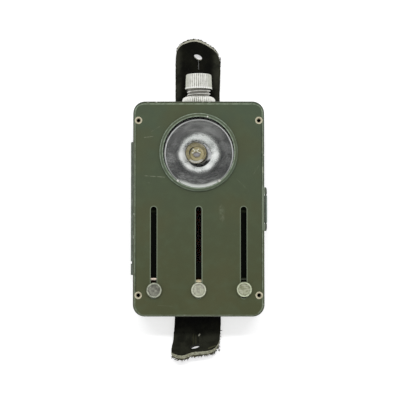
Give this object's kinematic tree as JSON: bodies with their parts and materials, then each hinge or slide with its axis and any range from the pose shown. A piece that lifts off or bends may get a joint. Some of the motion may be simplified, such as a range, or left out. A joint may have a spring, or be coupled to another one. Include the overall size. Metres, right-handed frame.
{
  "type": "morse signal lamp",
  "caption": "Flat pocket signal lamp with a round lens, sliding coloured filters, a press switch for morse and a leather button strap.",
  "frame": {"origin": "under the middle of the case, on the back face of the leather strap that the lamp rests on", "axes": "+Z out of the lens, +Y toward the press switch, +X toward the latch"},
  "size_m": [0.0774, 0.183, 0.0423],
  "materials": {
    "olive_paint": "worn semi-matt enamel",
    "inner_steel": "matt",
    "dark_plate": "matt black",
    "bare_metal": "worn nickel",
    "bright_metal": "plain",
    "spring_steel": "plain",
    "mirror_metal": "mirror",
    "brass": "plain",
    "copper_strip": "worn",
    "solder": "dull",
    "clear_glass": "clear",
    "red_filter": "clear",
    "amber_filter": "clear",
    "green_filter": "clear",
    "black_rubber": "matt",
    "black_plastic": "glossy",
    "board": "brown phenolic sheet",
    "battery_wrap": "plain wrapper",
    "black_leather": "worn, grey-tan cut edges"
  },
  "bodies": {
    "case": {"front_case": "olive_paint", "closing_frame": "inner_steel", "guide_pan": "inner_steel", "corner_rivets": "bare_metal", "lens_glass": "clear_glass", "lens_seal": "black_rubber", "lens_retaining_ring": "bright_metal", "reflector": "mirror_metal", "bulb_glass": "clear_glass", "bulb_base": "brass", "bulb_insulator": "black_plastic", "bulb_tip": "solder", "bulb_filament": "solder", "bulb_socket": "brass", "socket_insulator": "board", "bulb_contact_leaf": "brass", "switch_contact_strip": "brass", "contact_board": "board", "board_posts": "brass", "board_screws": "brass", "battery": "battery_wrap", "battery_terminals": "brass", "switch_bushing": "bare_metal", "switch_collar": "bare_metal", "switch_spring": "spring_steel", "hinge_case_leaf": "olive_paint", "hinge_pin": "spring_steel", "latch_bracket": "olive_paint", "latch_pin": "spring_steel"},
    "filter_slider_left": {"filter_frame_left": "dark_plate", "filter_left": "red_filter", "knob_left": "bare_metal", "friction_spring_left": "copper_strip"},
    "filter_slider_centre": {"filter_frame_centre": "dark_plate", "filter_centre": "amber_filter", "knob_centre": "bare_metal", "friction_spring_centre": "copper_strip"},
    "filter_slider_right": {"filter_frame_right": "dark_plate", "filter_right": "green_filter", "knob_right": "bare_metal", "friction_spring_right": "copper_strip"},
    "switch_plunger": {"switch_plunger": "bare_metal", "plunger_clip": "spring_steel"},
    "switch_cap": {"switch_cap": "bare_metal"},
    "switch_leaf": {"switch_leaf": "brass"},
    "rear_door": {"rear_door": "olive_paint", "hinge_door_leaf": "olive_paint", "strap": "black_leather", "strap_rivets": "bare_metal", "strap_washers": "bare_metal", "battery_spring": "spring_steel", "battery_spring_rivet": "bare_metal"},
    "latch_lever": {"latch_lever": "spring_steel"}
  },
  "joints": [
    {"name": "filter_slide_left", "type": "slide", "parent": "case", "child": "filter_slider_left", "axis": [0, 1, 0], "range_m": [0, 0.0415]},
    {"name": "filter_slide_centre", "type": "slide", "parent": "case", "child": "filter_slider_centre", "axis": [0, 1, 0], "range_m": [0, 0.0415]},
    {"name": "filter_slide_right", "type": "slide", "parent": "case", "child": "filter_slider_right", "axis": [0, 1, 0], "range_m": [0, 0.0415]},
    {"name": "switch_press", "type": "slide", "parent": "case", "child": "switch_plunger", "axis": [0, -1, 0], "range_m": [0, 0.0023], "stiffness_N_per_m": 600, "springref_m": -0.004, "deforming": ["switch_spring"]},
    {"name": "switch_turn", "type": "hinge", "parent": "switch_plunger", "child": "switch_cap", "pos_m": [0, 0.0765, 0.021], "axis": [0, 1, 0], "range_deg": [0, 330]},
    {"name": "switch_leaf_tilt", "type": "hinge", "parent": "case", "child": "switch_leaf", "pos_m": [0, 0.0448, 0.0075], "axis": [1, 0, 0], "range_deg": [0, 10]},
    {"name": "door_swing", "type": "hinge", "parent": "case", "child": "rear_door", "pos_m": [-0.03725, 0, 0.012], "axis": [0, 1, 0], "range_deg": [0, 125]},
    {"name": "latch_swing", "type": "hinge", "parent": "case", "child": "latch_lever", "pos_m": [0.0374, 0, 0.022], "axis": [0, -1, 0], "range_deg": [0, 110]}
  ],
  "couplings": [
    {"joint": "switch_leaf_tilt", "follows": "switch_press", "rad_per_m": 74.074}
  ]
}
